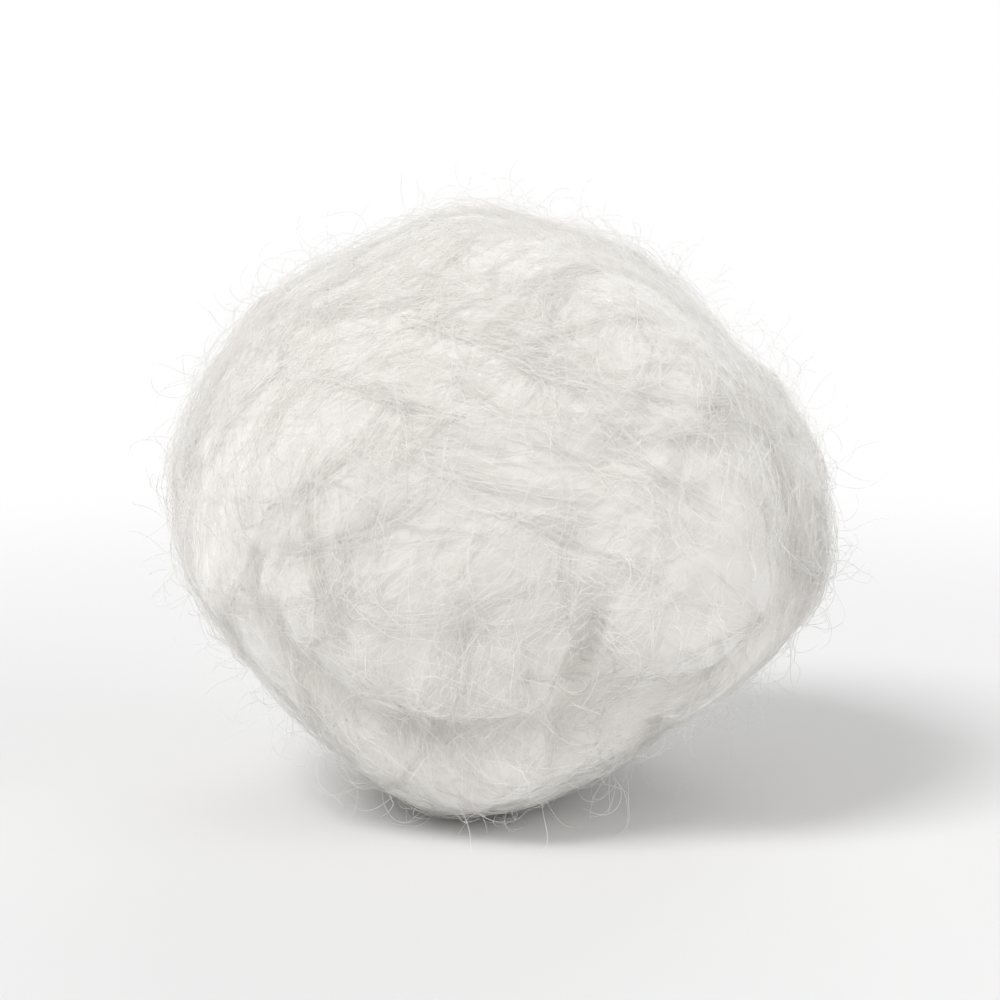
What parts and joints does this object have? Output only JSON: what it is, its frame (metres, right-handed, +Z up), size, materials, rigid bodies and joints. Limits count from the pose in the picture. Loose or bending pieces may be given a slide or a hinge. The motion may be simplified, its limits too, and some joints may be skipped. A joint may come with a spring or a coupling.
{
  "type": "cotton ball",
  "caption": "Soft round wad of white cotton fibre, slightly flattened at its sides, lying on a small flat spot.",
  "frame": {"origin": "middle of the box's underside, which is the plane of the small flat that the ball lies on", "axes": "+X to the right of the front, along the ball's widest way; +Y from front to back; +Z up from the flat, the ball's lowest measure"},
  "size_m": [0.03, 0.028, 0.0265],
  "materials": {
    "bleached_cotton": "dull, warm white, loose and fibrous"
  },
  "bodies": {
    "root": {"cotton_ball": "bleached_cotton"}
  },
  "joints": []
}
